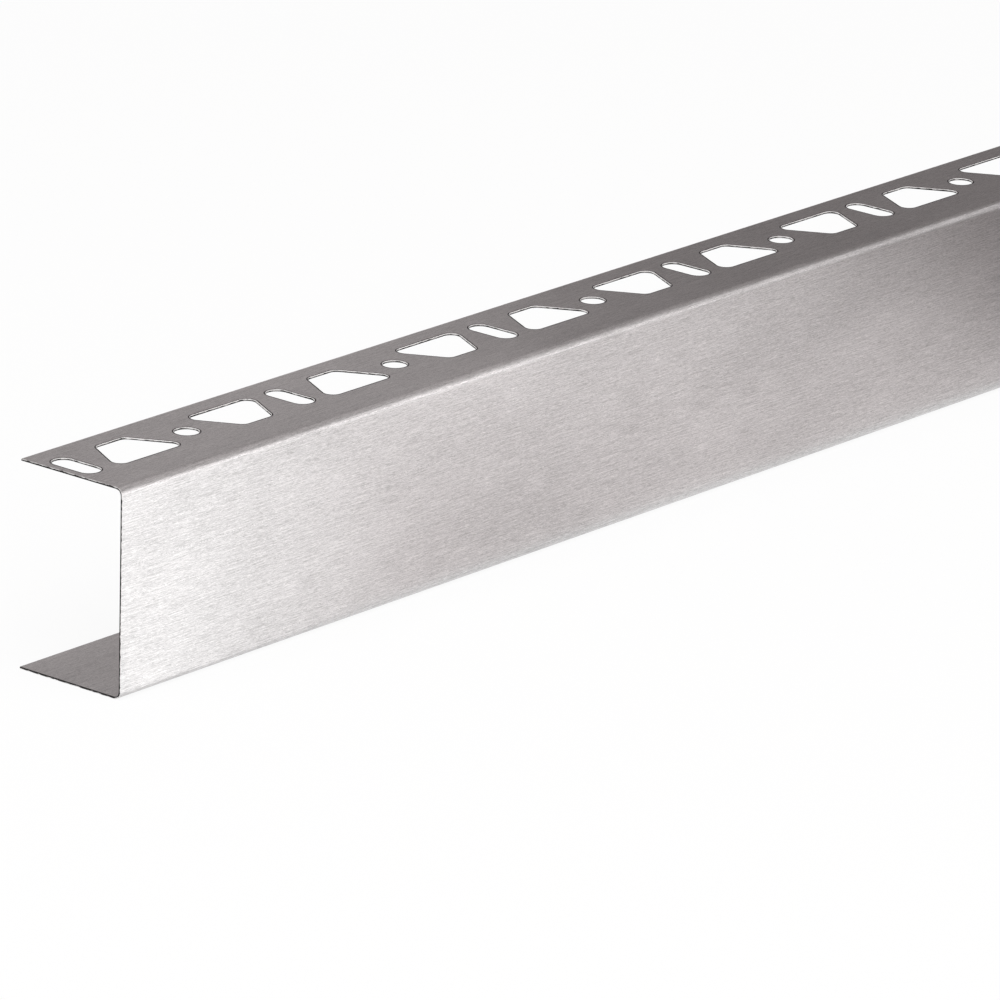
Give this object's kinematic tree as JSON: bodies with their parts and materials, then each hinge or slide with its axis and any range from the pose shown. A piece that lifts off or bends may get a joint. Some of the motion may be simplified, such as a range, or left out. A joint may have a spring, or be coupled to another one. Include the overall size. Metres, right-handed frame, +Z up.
{
  "type": "backer board edge profile",
  "caption": "Folded U profile of thin brushed stainless sheet that caps the edge of a backer board, with one leg punched by slots, trapezoids and round holes.",
  "frame": {"origin": "middle of the bounding box in plan, on the underside of the plain leg, on which the profile stands", "axes": "+X along the length, +Y from the web towards the free edges of the legs, +Z up from the plain leg to the punched leg"},
  "size_m": [2.5, 0.0316, 0.051],
  "materials": {
    "brushed_stainless": "brushed along the length"
  },
  "bodies": {
    "root": {"edge_profile": "brushed_stainless"}
  },
  "joints": []
}
